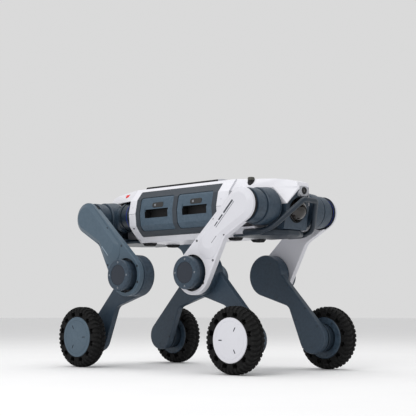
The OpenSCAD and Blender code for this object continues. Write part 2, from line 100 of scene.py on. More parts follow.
# ---- materials
class Graph:
    """Small helper that wires a node tree."""

    def __init__(self, name):
        self.mat = bpy.data.materials.new(name)
        self.mat.use_nodes = True
        self.tree = self.mat.node_tree
        self.tree.nodes.clear()
        self.out = self.add("ShaderNodeOutputMaterial")
        self.bsdf = self.add("ShaderNodeBsdfPrincipled")
        self.link(self.bsdf, "BSDF", self.out, "Surface")
        self.coord = self.add("ShaderNodeTexCoord")

    def add(self, kind, **values):
        node = self.tree.nodes.new(kind)
        for key, value in values.items():
            if key in node.inputs:
                node.inputs[key].default_value = value
            else:
                setattr(node, key, value)
        return node

    def link(self, a, a_out, b, b_in):
        self.tree.links.new(a.outputs[a_out], b.inputs[b_in])

    def noise(self, scale, detail=3.0, rough=0.55):
        node = self.add("ShaderNodeTexNoise", Scale=scale, Detail=detail, Roughness=rough)
        self.link(self.coord, "Object", node, "Vector")
        return node

    def spread(self, source, out, low, high, into_low=0.0, into_high=1.0):
        """Maps the range low to high onto into_low to into_high."""
        node = self.add("ShaderNodeMapRange", **{"From Min": low, "From Max": high, "To Min": into_low,
                                                 "To Max": into_high})
        self.link(source, out, node, "Value")
        return node

    def combine(self, operation, a, b):
        node = self.add("ShaderNodeMath", operation=operation)
        self.link(a, "Result", node, 0)
        self.link(b, "Result", node, 1)
        return node

    def mix(self, factor, factor_out, a, b):
        """Colour mix; a and b are colours or (node, output)."""
        node = self.add("ShaderNodeMix", data_type="RGBA")
        self.link(factor, factor_out, node, 0)
        for index, item in ((6, a), (7, b)):
            if isinstance(item[0], float):
                node.inputs[index].default_value = (*item[:3], 1.0)
            else:
                self.tree.links.new(item[0].outputs[item[1]], node.inputs[index])
        return node


def linear(rgb):
    """sRGB 0-255 to linear."""
    return tuple(c / 12.92 if c <= 0.04045 else ((c + 0.055) / 1.055) ** 2.4 for c in (v / 255 for v in rgb))


def coat(name, rgb, rough, grain=0.0012, grain_scale=900.0, drift=0.03, wear=0.25, wear_to=None, metal=0.0,
         gloss=0.4, coat_weight=0.0, dust=0.0):
    """Painted, moulded or anodised surface: slow colour drift, fine grain in bump and roughness, paler worn edges."""
    g = Graph(name)
    base = linear(rgb)
    slow = g.noise(9.0, 4.0)
    tint = g.spread(slow, "Fac", 0.3, 0.7)
    body = g.mix(tint, "Result", tuple(c * (1 - drift) for c in base), tuple(min(1.0, c * (1 + drift)) for c in base))
    last = (body, 2)
    if dust:
        fine = g.noise(60.0, 6.0, 0.7)
        haze = g.spread(fine, "Fac", 0.5, 0.8, 0.0, dust)
        last = (g.mix(haze, "Result", last, tuple(min(1.0, c + 0.12) for c in base)), 2)
    if wear_to:
        geo = g.add("ShaderNodeNewGeometry")
        edge = g.spread(geo, "Pointiness", 0.515, 0.56, 0.0, wear)
        patchy = g.noise(120.0, 3.0)
        breakup = g.spread(patchy, "Fac", 0.35, 0.6)
        both = g.combine("MULTIPLY", edge, breakup)
        last = (g.mix(both, "Value", last, linear(wear_to)), 2)
    g.tree.links.new(last[0].outputs[last[1]], g.bsdf.inputs["Base Color"])
    grains = g.noise(grain_scale, 2.0, 0.6)
    patch = g.noise(35.0, 4.0)
    rough_fine = g.spread(grains, "Fac", 0.3, 0.7, -0.02, 0.02)
    rough_slow = g.spread(patch, "Fac", 0.3, 0.7, rough - 0.012, rough + 0.018)
    g.link(g.combine("ADD", rough_fine, rough_slow), "Value", g.bsdf, "Roughness")
    bump = g.add("ShaderNodeBump", Strength=0.2, Distance=grain)
    g.link(grains, "Fac", bump, "Height")
    g.link(bump, "Normal", g.bsdf, "Normal")
    for key, value in (("Metallic", metal), ("Coat Weight", coat_weight), ("Coat Roughness", 0.15),
                       ("Specular IOR Level", gloss)):
        g.bsdf.inputs[key].default_value = value
    return g.mat


MAT = {
    "white": coat("white_paint", (226, 226, 232), 0.34, grain=0.0002, drift=0.010, coat_weight=0.2),
    # the white paint made darker for the thigh sides, wheel caps and screw heads: painted shade
    "white_shaded": coat("white_paint_shaded", (214, 214, 220), 0.42, grain=0.0002, drift=0.010, coat_weight=0.05),
    "blue_grey": coat("blue_grey_paint", (72, 90, 104), 0.42, grain=0.0003, wear_to=(110, 128, 142)),
    "slate": coat("slate_anodised", (40, 55, 69), 0.42, grain=0.0003, wear_to=(84, 102, 118)),
    "slate_dark": coat("slate_deep", (31, 42, 53), 0.38, grain=0.0003, wear_to=(70, 86, 100)),
    "slate_insert": coat("slate_insert", (34, 41, 52), 0.34, grain=0.0002),
    "graphite": coat("graphite_moulding", (52, 59, 67), 0.55, grain=0.0007, wear=0.2, wear_to=(84, 92, 102)),
    "black": coat("black_moulding", (20, 20, 22), 0.6, grain=0.0008, wear=0.2, wear_to=(52, 54, 58)),
    "pack": coat("pack_moulding", (66, 84, 99), 0.5, grain=0.0006, wear=0.2, wear_to=(118, 136, 152)),
    "steel": coat("screw_steel", (150, 154, 160), 0.32, metal=0.9, grain=0.0003, drift=0.06),
    "dark_steel": coat("black_oxide_steel", (48, 52, 58), 0.4, metal=0.6, wear=0.2, wear_to=(90, 95, 100)),
    "rubber": coat("tyre_rubber", (10, 10, 10.5), 0.8, grain=0.0016, grain_scale=500.0, wear=0.15,
                   wear_to=(58, 58, 58), dust=0.01, gloss=0.22),
    "pad": coat("pad_rubber", (20, 20, 22), 0.75, grain=0.0012, wear=0.2, wear_to=(50, 50, 52)),
    # painted blue glint: thin blue rings in the dark gaps of the hips and roll motors stand in for the blue glints
    # there
    "blue_glint_ring": coat("painted_blue_glint", (24, 44, 150), 0.35, grain=0.0002),
    "red": coat("red_lamp", (224, 22, 24), 0.25, grain=0.0001, coat_weight=0.6),
    "dome": coat("sensor_dome", (30, 26, 23), 0.14, grain=0.00005, drift=0.1, coat_weight=0.5),
    "grey": coat("light_grey_plastic", (176, 178, 184), 0.45, grain=0.0005),
    "grey_dim": coat("label_grey", (110, 114, 120), 0.5, grain=0.0002),
    "lens": coat("lens_black", (8, 8, 10), 0.1, grain=0.00002, coat_weight=0.8),
    # olive-grey knob head: the knob's grey-green band, lightened as a painted highlight
    "olive": coat("knob_grey_highlight", (78, 78, 72), 0.5, grain=0.0006),
    "mark": coat("mark_ink", (60, 64, 72), 0.5, grain=0.0001),
    "mark_light": coat("mark_light", (150, 164, 176), 0.5, grain=0.0001),
}
REAR_LOOK = {"white_paint_shaded": "blue_grey"}  # material name at the front, key at the rear


# ---- drawing in a plane
def arc(at, r, start, sweep, steps):
    """Points round at, from the angle start over the angle sweep."""
    return [(at[0] + r * cos(start + sweep * i / steps), at[1] + r * sin(start + sweep * i / steps))
            for i in range(steps + 1)]


def around(at, r, count, first=0.0):
    """Evenly spaced points on a circle, the first at an angle in degrees."""
    return arc(at, r, radians(first), 2 * pi, count)[:count]


def radial(at, r, angle, outline):
    """A drawing at the distance r from at, with its first axis outwards."""
    u = Vector((cos(angle), sin(angle)))
    v = Vector((-u.y, u.x))
    return [tuple(Vector(at) + u * (r + p) + v * q) for p, q in outline]


def fillet(points, radii, steps=6):
    """Rounds the corners of a closed drawing. A radius of 0 keeps the corner."""
    out = []
    n = len(points)
    radii = [radii] * n if isinstance(radii, (int, float)) else radii
    for i, p in enumerate(points):
        a, b = Vector(points[i - 1]), Vector(points[(i + 1) % n])
        p = Vector(p)
        u, v = a - p, b - p
        lu, lv = u.length, v.length
        u.normalize()
        v.normalize()
        turn = u.angle(v)
        r = radii[i]
        if r <= 0 or turn > pi - 0.02:
            out.append(tuple(p))
            continue
        reach = min(r / tan(turn / 2), lu * 0.48, lv * 0.48)
        r = reach * tan(turn / 2)
        mid = p + (u + v).normalized() * (r / sin(turn / 2))
        s, e = p + u * reach - mid, p + v * reach - mid
        a0 = atan2(s.y, s.x)
        d = (atan2(e.y, e.x) - a0 + pi) % (2 * pi) - pi
        out += arc(mid, r, a0, d, steps)
    return out


def area2(points):
    """Twice the area of a closed drawing, positive if it runs anticlockwise."""
    return sum(points[i - 1][0] * points[i][1] - points[i][0] * points[i - 1][1] for i in range(len(points)))


def inset(points, d):
    """Moves every edge of a closed drawing inwards by d (outwards if negative)."""
    if abs(d) < 1e-9:
        return list(points)
    sign = 1 if area2(points) > 0 else -1
    out = []
    n = len(points)
    for i in range(n):
        p0, p1, p2 = Vector(points[i - 1]), Vector(points[i]), Vector(points[(i + 1) % n])
        e1, e2 = (p1 - p0).normalized(), (p2 - p1).normalized()
        n1, n2 = Vector((-e1.y, e1.x)) * sign, Vector((-e2.y, e2.x)) * sign
        out.append(tuple(p1 + (n1 + n2) / max(0.35, 1 + n1.dot(n2)) * d))
    return out


def touch(p, c, r, side):
    """Where a line from the point p touches the circle of radius r round c."""
    p, c = Vector(p), Vector(c)
    a = atan2(p.y - c.y, p.x - c.x) + side * acos(r / (p - c).length)
    return (c.x + r * cos(a), c.y + r * sin(a))


def tangent(a, ra, b, rb, side):
    """Where the common tangent of two circles touches each."""
    d = Vector(b) - Vector(a)
    t = atan2(d.y, d.x) + side * acos((ra - rb) / d.length)
    n = (cos(t), sin(t))
    return (a[0] + ra * n[0], a[1] + ra * n[1]), (b[0] + rb * n[0], b[1] + rb * n[1])


def swing(at, r, start, end, by, steps):
    """Arc from point start to point end round at, passing the direction of point by."""
    s, e, m = (atan2(p[1] - at[1], p[0] - at[0]) for p in (start, end, by))
    to_m, to_e = (m - s) % (2 * pi), (e - s) % (2 * pi)
    return arc(at, r, s, to_e if to_m < to_e else to_e - 2 * pi, steps)


def link_outline(a, ra, b, rb, bend, side, bend_r=45.0, steps=28):
    """Bent plate between two discs: straight on one side, turning at the bend on the other."""
    ta, tb = tangent(a, ra, b, rb, side)
    na, nb = touch(bend, a, ra, -side), touch(bend, b, rb, side)
    away_a = (2 * a[0] - b[0], 2 * a[1] - b[1])
    away_b = (2 * b[0] - a[0], 2 * b[1] - a[1])
    corner = fillet([na, bend, nb], [0, bend_r, 0], 8)[1:-1]
    return swing(a, ra, ta, na, away_a, steps) + corner + swing(b, rb, nb, tb, away_b, steps)


def rod(lo, hi, r):
    """Profile of a plain cylinder for Shape.lathe."""
    return [(lo, 0), (lo, r), (hi, r), (hi, 0)]


def rect(x0, x1, z0, z1, r=0.0, steps=5):
    """Rectangle with rounded corners."""
    box = [(x0, z0), (x1, z0), (x1, z1), (x0, z1)]
    return fillet(box, r, steps) if r else box


# ---- solids
class Shape:
    """Closed surfaces in millimetres, each face with a material index."""

    def __init__(self):
        self.verts, self.faces, self.mats = [], [], []

    def add(self, verts, faces, mat=0):
        n = len(self.verts)
        self.verts += [tuple(v) for v in verts]
        self.faces += [tuple(i + n for i in f) for f in faces]
        self.mats += [mat] * len(faces)
        return self

    def rings(self, rings, mat=0, loop=False, caps=True):
        """Skins a list of rings with equal counts. A ring of one point makes a tip."""
        verts, starts = [], []
        for ring in rings:
            starts.append(len(verts))
            verts += ring
        faces = []
        pairs = list(zip(range(len(rings)), range(1, len(rings)))) + ([(len(rings) - 1, 0)] if loop else [])
        for i, j in pairs:
            a, b = rings[i], rings[j]
            n = max(len(a), len(b))
            for k in range(n):
                m = (k + 1) % n
                if len(a) == 1:
                    faces.append((starts[i], starts[j] + k, starts[j] + m))
                elif len(b) == 1:
                    faces.append((starts[i] + k, starts[j], starts[i] + m))
                else:
                    faces.append((starts[i] + k, starts[j] + k, starts[j] + m, starts[i] + m))
        if caps and not loop:
            for i in (0, len(rings) - 1):
                if len(rings[i]) > 1:
                    faces.append(tuple(starts[i] + k for k in range(len(rings[i]))))
        return self.add(verts, faces, mat)

    def prism(self, outline, lo, hi, r_lo=0.0, r_hi=0.0, axis="y", mat=0, steps=3):
        """Extrudes a drawing along an axis with rounded (steps>1) or chamfered (steps=1) rims."""
        levels = []
        for i in range(steps + 1 if r_lo else 1):
            a = pi / 2 * i / steps
            levels.append((r_lo * (1 - sin(a)), lo + r_lo * (1 - cos(a))))
        for i in range(steps, -1, -1) if r_hi else [0]:
            a = pi / 2 * i / steps
            levels.append((r_hi * (1 - sin(a)) if r_hi else 0.0, hi - r_hi * (1 - cos(a))))
        rings = []
        for d, h in levels:
            ring = inset(outline, d)
            rings.append([{"y": (p, h, q), "x": (h, p, q), "z": (p, q, h)}[axis] for p, q in ring])
        return self.rings(rings, mat)

    def lathe(self, profile, at, axis="y", seg=96, mat=0, loop=False):
        """Turns (position, radius) pairs round an axis through at."""
        rings = []
        for h, r in profile:
            if r < 1e-6:
                spin = [(0.0, 0.0)]
            else:
                turns = [2 * pi * k / seg for k in range(seg)]
                spin = [(r * cos(a), r * sin(a)) for a in turns]
            rings.append([{"y": (at[0] + p, h, at[1] + q), "x": (h, at[0] + p, at[1] + q),
                           "z": (at[0] + p, at[1] + q, h)}[axis] for p, q in spin])
        return self.rings(rings, mat, loop=loop)

    def tube(self, path, r, seg=20, mat=0):
        """Round tube with domed ends along a path of points."""
        pts = [Vector(p) for p in path]
        rings = []
        side = None
        for i, p in enumerate(pts):
            ahead = (pts[min(i + 1, len(pts) - 1)] - pts[max(i - 1, 0)]).normalized()
            if side is None:
                side = ahead.orthogonal().normalized()
            side = (side - ahead * side.dot(ahead)).normalized()
            other = ahead.cross(side)
            spin = [side * u + other * v for u, v in arc((0, 0), 1, 0, 2 * pi, seg)[:seg]]
            domed = [(ahead * cos(a), sin(a)) for a in (0.5, 1.05)]
            if i == 0:
                rings.append([tuple(p - ahead * r)])
                rings += [[tuple(p - back * r + d * (r * wide)) for d in spin] for back, wide in domed]
            rings.append([tuple(p + d * r) for d in spin])
            if i == len(pts) - 1:
                rings += [[tuple(p + out * r + d * (r * wide)) for d in spin] for out, wide in reversed(domed)]
                rings.append([tuple(p + ahead * r)])
        return self.rings(rings, mat)

    def block(self, lo, hi, r=0.0):
        (x0, y0, z0), (x1, y1, z1) = lo, hi
        return self.prism(rect(x0, x1, z0, z1), y0, y1, r, r, steps=1)

    def move(self, matrix):
        self.verts = [tuple(matrix @ Vector(v)) for v in self.verts]
        return self

    def object(self, name, mats, corner=(1, 1)):
        """Makes the object, in metres, at a corner of the robot."""
        sx, sy = corner
        mesh = bpy.data.meshes.new(name)
        mesh.from_pydata([(x * sx * MM, y * sy * MM, z * MM) for x, y, z in self.verts], [], self.faces)
        for m in mats:
            mesh.materials.append(MAT[m])
        for poly, index in zip(mesh.polygons, self.mats):
            poly.material_index = index
        bm = bmesh.new()
        bm.from_mesh(mesh)
        bmesh.ops.remove_doubles(bm, verts=bm.verts, dist=1e-7)
        bmesh.ops.recalc_face_normals(bm, faces=bm.faces)
        bm.to_mesh(mesh)
        bm.free()
        return put(name, mesh)


def settle(obj):
    """Applies the modifiers of an object."""
    graph = bpy.context.evaluated_depsgraph_get()
    mesh = bpy.data.meshes.new_from_object(obj.evaluated_get(graph))
    obj.modifiers.clear()
    obj.data = mesh


def carve(obj, cutter, mats=("graphite",), corner=(1, 1), how="DIFFERENCE"):
    """Boolean with a Shape or an object; the new faces take the cutter's material."""
    tool = cutter.object("cutter", mats, corner) if isinstance(cutter, Shape) else cutter
    mod = obj.modifiers.new("carve", "BOOLEAN")
    mod.operation, mod.solver, mod.object = how, "EXACT", tool
    mod.material_mode = "TRANSFER"
    settle(obj)
    bpy.data.objects.remove(tool)
    return obj


def finish_edges(obj, width=0.0, angle=30, segments=2):
    """Small real bevels on the sharp edges, and smooth shading between them."""
    if width:
        mod = obj.modifiers.new("edge", "BEVEL")
        mod.width, mod.segments, mod.limit_method = width * MM, segments, "ANGLE"
        mod.angle_limit, mod.use_clamp_overlap, mod.miter_outer = radians(angle), True, "MITER_SHARP"
        settle(obj)
    obj.data.polygons.foreach_set("use_smooth", [True] * len(obj.data.polygons))
    obj.data.set_sharp_from_angle(angle=radians(angle))
    return obj


def mirrored(obj, corner, name, swap=None):
    """Copy of a front left piece at another corner, with some materials changed."""
    sx, sy = corner
    mesh = obj.data.copy()
    mesh.transform(Matrix.Diagonal((sx, sy, 1.0, 1.0)))
    if sx * sy < 0:
        mesh.flip_normals()
    for i, m in enumerate(mesh.materials):
        key = m.name.split(".")[0]
        if swap and key in swap:
            mesh.materials[i] = MAT[swap[key]]
    return put(name, mesh)


def turned(obj, corner, name):
    """Moves a front left piece to its corner."""
    new = mirrored(obj, corner, name)
    bpy.data.objects.remove(obj)
    return new


def join(objs, name):
    """One object from several; the material slots are merged."""
    keys = []
    for o in objs:
        for m in o.data.materials:
            if m not in keys:
                keys.append(m)
    bm = bmesh.new()
    for o in objs:
        remap = [keys.index(m) for m in o.data.materials]
        start = len(bm.faces)
        bm.from_mesh(o.data)
        bm.faces.ensure_lookup_table()
        for f in bm.faces[start:]:
            f.material_index = remap[min(f.material_index, len(remap) - 1)]
    mesh = bpy.data.meshes.new(name)
    bm.to_mesh(mesh)
    bm.free()
    for m in keys:
        mesh.materials.append(m)
    for o in objs:
        bpy.data.objects.remove(o)
    return put(name, mesh)


def place(obj, body, slot, *nodes):
    """Gives a finished piece to its body, in place of the CAD nodes."""
    mod = obj.modifiers.new("face_weight", "WEIGHTED_NORMAL")
    mod.weight, mod.keep_sharp = 50, True
    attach(obj, body)
    if nodes:
        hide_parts(*nodes)
    return obj


def at_corners(obj, base, body, slots, nodes=(), swap=None):
    """The piece at all four corners. The rear pair takes the materials in swap."""
    for c, corner in CORNERS.items():
        rear = c[0] == "r"
        piece = mirrored(obj, corner, f"{base}_{c}", swap if rear else None)
        place(piece, f"{body}_{c}", slots[-1 if rear else 0], *[f"{n}_{c}" for n in nodes])
    bpy.data.objects.remove(obj)


def screw(shape, at, y, r=2.6, axis="y", head=0, socket=1, out=1):
    """Cap screw with a round head and a hexagonal socket; out is the way it faces."""
    inner, outer, low, top = r * 0.9, r * 1.32, y - out * 3, y - out * 0.42
    shape.lathe([(low, inner), (low, outer), (top, outer), (top, inner)], at, axis, 24, socket, loop=True)
    shape.lathe([(y - out * 3, 0), (y - out * 3, r), (y - out * 0.5, r), (y, r * 0.82), (y, r * 0.5),
                 (y - out * 1.2, r * 0.46), (y - out * 1.2, 0)], at, axis, 24, head)
    return shape.lathe([(y - out * 1.15, 0), (y - out * 1.15, r * 0.44), (y - out * 0.9, r * 0.44), (y - out * 0.9, 0)],
                       at, axis, 6, socket)


def hull(points):
    """Convex hull of points."""
    bm = bmesh.new()
    for p in points:
        bm.verts.new(p)
    bmesh.ops.convex_hull(bm, input=bm.verts)
    bmesh.ops.delete(bm, geom=[v for v in bm.verts if not v.link_faces], context="VERTS")
    bmesh.ops.dissolve_limit(bm, angle_limit=0.01, verts=bm.verts, edges=bm.edges)
    bm.verts.index_update()
    verts = [tuple(v.co) for v in bm.verts]
    faces = [tuple(v.index for v in f.verts) for f in bm.faces]
    bm.free()
    return Shape().add(verts, faces)


def both(x, y, z):
    """A point and its mirror image."""
    return [(x, -y, z), (x, y, z)]


def corners_of(x0, x1, half, z0, z1):
    """Corners of a block centred on the middle plane."""
    return [(x, s * half, z) for x in (x0, x1) for s in (-1, 1) for z in (z0, z1)]


# ---- torso
def half_section(t):
    """Barrel section at y > 0, as (y, z from the hip), moved in by t."""
    return [(84 - 0.7 * t, 86 - t), (113 - t, 50 - 0.4 * t), (121 - t, 10), (117 - t, -28 + 0.2 * t),
            (104 - 0.9 * t, -45 + 0.4 * t), (71 - 0.7 * t, -76 + t)]


def section(t):
    """The whole barrel section as a closed drawing."""
    h = [(y, Z0 + z) for y, z in half_section(t)]
    return h + [(-y, z) for y, z in reversed(h)]


def skin_at(t, z):
    """Half width of the barrel at the height z from the hip."""
    h = half_section(t)
    for (y0, z0), (y1, z1) in zip(h, h[1:]):
        if z1 <= z <= z0:
            return y0 + (y1 - y0) * (z0 - z) / (z0 - z1)
    return h[0][0] if z > h[0][1] else h[-1][0]


def skin(t, low, high):
    """Barrel section from high down to low, as (y, z)."""
    mid = [(y, Z0 + z) for y, z in half_section(t) if low < z < high]
    return [(skin_at(t, high), Z0 + high)] + mid + [(skin_at(t, low), Z0 + low)]


def build_torso():
    barrel = Shape().prism(fillet(section(0), 5, 4), SHELL_REAR, SHELL_FRONT, 1.4, 1.4, axis="x")
    shell = barrel.object("torso_skin", ["white"])
    carve(shell, Shape().prism(section(4), -SHELL_IN, SHELL_IN, axis="x"))
    for s in (-1, 1):
        for y in (-ROLL_Y, ROLL_Y):
            bore = rod(s * 180, s * 212, MOTOR_BORE)
            carve(shell, Shape().lathe(bore, (y, MOTOR_Z), "x"), ["black"])
    for side in (-1, 1):
        window = rect(-PANEL_X - 0.7, PANEL_X + 0.7, Z0 + PANEL_LOW - 0.7, Z0 + PANEL_TOP + 0.7, 3.0)
        carve(shell, Shape().prism(window, *sorted((side * 60, side * 130))))
        seam = sorted((side * 120.3, side * 124))
        carve(shell, Shape().block((-200, seam[0], Z0 + 8.2), (210, seam[1], Z0 + 8.9)))
    finish_edges(shell, 0.9, 30)
    place(shell, "torso", "white_shell", "torso_shell")

    bezels = []
    for side in (-1, 1):
        outline = skin(-1, PANEL_LOW, PANEL_TOP) + skin(9, PANEL_LOW, PANEL_TOP)[::-1]
        outline = [(side * y, z) for y, z in outline]
        one = Shape().prism(outline, -PANEL_X, PANEL_X, axis="x").object("bezel", ["graphite"])
        panel = rect(-PANEL_X, PANEL_X, Z0 + PANEL_LOW, Z0 + PANEL_TOP, 2.6)
        carve(one, Shape().prism(panel, -OUTSIDE, OUTSIDE), ["graphite"], how="INTERSECT")
        for fore in (-1, 1):
            x0, x1 = sorted((fore * (PACK_X - PACK_W / 2 - GAP), fore * (PACK_X + PACK_W / 2 + GAP)))
            bay = rect(x0, x1, Z0 + PACK_LOW - GAP, Z0 + PACK_TOP + GAP, 6.6)
            carve(one, Shape().prism(bay, -OUTSIDE, OUTSIDE), ["black"])
        bezels.append(one)
    body = join(bezels, "pack_bezels")
    finish_edges(body, 1.3, 25, 3)
    place(body, "torso", "graphite_plastic", "side_bezels")


def build_packs():
    x0, x1 = PACK_X - PACK_W / 2, PACK_X + PACK_W / 2
    for c, (sx, sy) in CORNERS.items():
        outline = skin(0.6, PACK_LOW, PACK_TOP) + [(22, Z0 + PACK_LOW), (22, Z0 + PACK_TOP)]
        body = Shape().prism(outline, x0, x1, axis="x").object("pack", ["pack"])
        front = rect(x0, x1, Z0 + PACK_LOW, Z0 + PACK_TOP, 6)
        carve(body, Shape().prism(front, 10, OUTSIDE), ["pack"], how="INTERSECT")
        px = PACK_X + 4.5 * sx  # the middle of the pill, towards the nose at both ends
        # shallow tray round the label, finger slot, label pill
        carve(body, Shape().prism(rect(PACK_X - 49.5, PACK_X + 49.5, Z0 + 12, Z0 + 40, 3), 116.6, OUTSIDE), ["pack"])
        carve(body, Shape().prism(rect(PACK_X - 48, PACK_X + 48, Z0 - 7, Z0 + 19, 2.5), 94, OUTSIDE), ["black"])
        finish_edges(body, 0.9, 25)
        pill = rect(px - 23.5, px + 23.5, LABEL_Z - 7.6, LABEL_Z + 7.6, 7.5, 8)
        carve(body, Shape().prism(pill, 112, OUTSIDE), ["black"])
        body.data.set_sharp_from_angle(angle=radians(30))
        body = turned(body, (sx, sy), f"battery_pack_{c}")
        place(body, f"battery_{c}", "pack_plastic", f"battery_{c}")
        # label: black insert with a light bar
        label = Shape().prism(rect(px - 23.1, px + 23.1, LABEL_Z - 7.2, LABEL_Z + 7.2, 7.1, 8), 111, 117.0, 0, 0.8)
        bar = rect(*sorted((px - 4 * sx, px + 16 * sx)), LABEL_Z - 1.1, LABEL_Z + 1.3, 1.1, 3)
        label.prism(bar, 116.5, 117.15, mat=1)
        obj = label.object(f"pack_label_{c}", ["lens", "grey_dim"], (sx, sy))
        spot = (px - 12 * sx, LABEL_Z)
        hole = Shape().lathe(rod(105, 120, 4.4), spot, seg=32)
        carve(obj, hole, ["lens"], (sx, sy))
        finish_edges(obj)
        place(obj, f"battery_{c}", "black_plastic")
        press = Shape().lathe([(107, 0), (107, 4.0), (116.6, 4.0), (117.3, 3.4), (117.3, 0)], spot, seg=32)
        obj = press.object(f"release_button_{c}", ["steel"], (sx, sy))
        finish_edges(obj)
        place(obj, f"button_{c}", "bare_metal", f"button_{c}")


def build_deck():
    low, top = Z0 + 86.1, Z0 + 91.5
    deck = Shape().prism([(-162, low), (134.6, low), (134.6, top), (-157, top), (-162, Z0 + 87.5)], -80, 80)
    deck.prism([(135, low), (152, low), (152, Z0 + 90), (149, top), (135, top)], -80, 80, mat=1)
    obj = deck.object("payload_deck", ["black", "grey"])
    for x in (-BOLT_X, BOLT_X):
        for y in (-BOLT_Y, BOLT_Y):
            carve(obj, Shape().lathe(rod(Z0 + 80, Z0 + 100, BOLT_R), (x, y), "z", 24), ["steel"])
    finish_edges(obj, 0.9, 25)
    place(obj, "torso", "black_metal", "top_plate")


def build_underside():
    pads = Shape()
    for sx in (-1, 1):
        for sy in (-1, 1):
            cx = sx * 175
            pads.prism([(cx - 20, Z0 - 76.2), (cx + 20, Z0 - 76.2), (cx + 11, Z0 - 84.5), (cx - 11, Z0 - 84.5)],
                       sy * 50 - 13, sy * 50 + 13)
    obj = finish_edges(pads.object("belly_pad_set", ["pad"]), 1.4, 25, 3)
    place(obj, "torso", "pad_rubber", "belly_pads")
    trays = Shape()
    for s in (-1, 1):
        plan = [(s * x, y) for x, y in rect(195.8, 252, -83.5, 83.5)]
        trays.prism(plan, Z0 - 76.9, Z0 - 70.3, 1.6, 0.8, axis="z", steps=2)
        front = [(247, -89), (296, -89), (331, -62), (347, -24), (347, 24), (331, 62), (296, 89), (247, 89)]
        front = fillet([(s * x, y) for x, y in front], [6, 30, 30, 26, 26, 30, 30, 6], 6)
        levels = [(6.0, -77.0), (3.4, -76.5), (0.8, -73.6), (0.0, -71.6), (0.0, -62.6), (0.8, -61.2), (2.4, -60.6)]
        trays.rings([[(x, y, Z0 + z) for x, y in inset(front, d)] for d, z in levels])
        # moulded skids that carry the rails of the guard
        for side in (-1, 1):
            bar = fillet([(side * y, Z0 + z) for y, z in rect(87.6, 103.4, -77.2, -58.7)], 7.2, 5)
            run = [(243.6, 6.4), (244.6, 3.9), (246.6, 1.9), (249.4, 0.5), (252, 0), (296, 0), (306, 1.6), (316, 4.4)]
            trays.rings([[(s * x, y, z) for y, z in inset(bar, d)] for x, d in run])
    obj = finish_edges(trays.object("skid_tray_set", ["slate_dark"]), 0.6, 28)
    place(obj, "torso", "graphite_plastic", "skid_trays")


# ---- nose and tail
def canopy_points(t, drop, x0, root):
    """Hull points of the wedge over the hips, moved in by t, its lower edge let down by drop."""
    tip = 381 - t
    rim = [(x0, root, 50), (229.5, 92, 53), (318, 56, 56), (tip, 25, 55)]
    ridge = [(229.5, 63, 85.5), (318, 46, 80.8), (350, 34.5, 77), (tip - 4, 24, 68.5)]
    points = both(x0, root - 28 + 0.4 * t, Z0 + 86 - t)
    for x, y, z in rim:
        points += both(x, y - t, Z0 + z - drop)
    for x, y, z in ridge:
        points += both(x, y - 0.6 * t, Z0 + z - t)
    return points


def nose_points(t, dx=0.0, dz=0.0):
    """Hull points of the cheeks under the canopy, moved in by t."""
    z = Z0 + dz
    return corners_of(302 + dx, 361 + dx, 50 - t, z + 8.5, z + 9.5) + \
        corners_of(302 + dx, 318 + dx, 56 - t, z + 56, z + 57) + \
        corners_of(372 + dx, 382.5 + dx, 22 - t, z + 50, z + 57)


def build_canopy(front):
    """Canopy with its cheeks and inner walls. Both ends are drawn at the front."""
    x0, root = (SHELL_FRONT + 0.4, 106) if front else (0.4 - SHELL_REAR, 112)
    top = hull(canopy_points(0, 0, x0, root)).object("canopy", ["white"])
    carve(top, hull(canopy_points(3, 6, x0 - 5, root)))
    cheeks = hull(nose_points(0)).object("nose", ["white"])
    for dx in (0.6, -2):
        carve(cheeks, hull(nose_points(3, dx, -0.6)))
    carve(top, cheeks, how="UNION")
    for y in (-ROLL_Y, ROLL_Y):
        carve(top, Shape().lathe(rod(180, 252, MOTOR_BORE - 0.5), (y, MOTOR_Z), "x", 64))
    finish_edges(top, 1.8, 20, 3)
    parts = [top]
    walls = Shape()
    for s in (-1, 1):
        walls.prism(rect(196, 300, Z0 - 66.3, Z0 + 77.5), *sorted((s * 24, s * 27)))
    parts.append(walls.object("walls", ["white"]))
    if front:
        parts += nose_trim()
        for y in (-KNOB_Y, KNOB_Y):
            carve(top, Shape().lathe(rod(Z0 + 50, Z0 + 100, 10.1), (KNOB_X, y), "z", 40))
    else:
        for s in (-1, 1):
            seat = Matrix.Translation((243, s * 79, Z0 + 71)) @ Matrix.Rotation(radians(-56.7 * s), 4, "X")
            carve(top, Shape().block((-8.4, -5.9, -9), (8.4, 5.9, 9)).move(seat))
            lens = Shape().block((-8, -5.5, -6), (8, 5.5, 1.4), r=0.9).move(seat)
            obj = lens.object(f"tail_light_{'l' if s > 0 else 'r'}", ["red"], (-1, 1))
            finish_edges(obj, 0.5, 25)
            place(obj, "torso", "lamp_red", *(["tail_lamps"] if s > 0 else []))
    shell = turned(join(parts, "shell"), (1 if front else -1, 1), "front_canopy" if front else "rear_canopy")
    shell.data.set_sharp_from_angle(angle=radians(30))
    place(shell, "torso", "white_shell", "head_shell" if front else "tail_shell")


